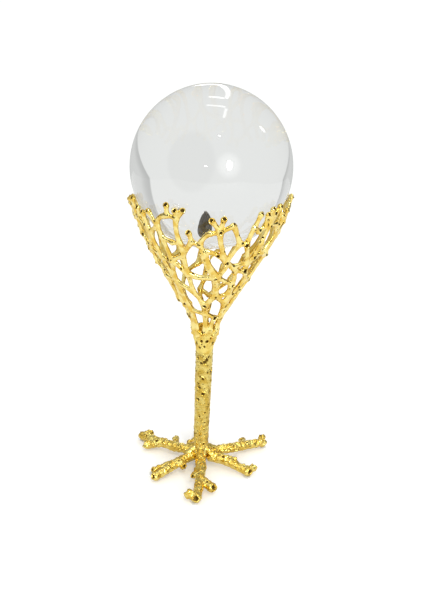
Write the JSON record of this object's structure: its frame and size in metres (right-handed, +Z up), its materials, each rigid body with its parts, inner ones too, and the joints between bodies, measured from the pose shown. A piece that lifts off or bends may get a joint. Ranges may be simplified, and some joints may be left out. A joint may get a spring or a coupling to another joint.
{
  "type": "crystal ball on stand",
  "caption": "Solid clear crystal ball resting in an open coral-lattice basket on a gold stem with branching coral feet.",
  "frame": {"origin": "on the table, under the middle of the stem", "axes": "+Z up through the stem and the ball; -Y is the front, where one long foot points"},
  "size_m": [0.1035, 0.1064, 0.255],
  "materials": {
    "gold": "polished gold plate",
    "crystal": "polished clear",
    "clear_pad": "clear silicone",
    "steel": "zinc-plated"
  },
  "bodies": {
    "stand": {"basket_panel_1": "gold", "basket_panel_2": "gold", "basket_panel_3": "gold", "rest_pad_1": "clear_pad", "rest_pad_2": "clear_pad", "rest_pad_3": "clear_pad", "basket_root": "gold", "stem": "gold", "tie_rod": "steel", "hub": "gold", "washer": "steel", "nut": "steel", "foot_long_1": "gold", "foot_long_2": "gold", "foot_long_3": "gold", "foot_short_1": "gold", "foot_short_2": "gold", "foot_short_3": "gold", "foot_pad_long_1": "clear_pad", "foot_pad_long_2": "clear_pad", "foot_pad_long_3": "clear_pad", "foot_pad_short_1": "clear_pad", "foot_pad_short_2": "clear_pad", "foot_pad_short_3": "clear_pad"},
    "ball": {"crystal_ball": "crystal"}
  },
  "joints": [
    {"name": "ball_lift", "type": "slide", "parent": "stand", "child": "ball", "axis": [0, 0, 1], "range_m": [0, 0.12]}
  ]
}
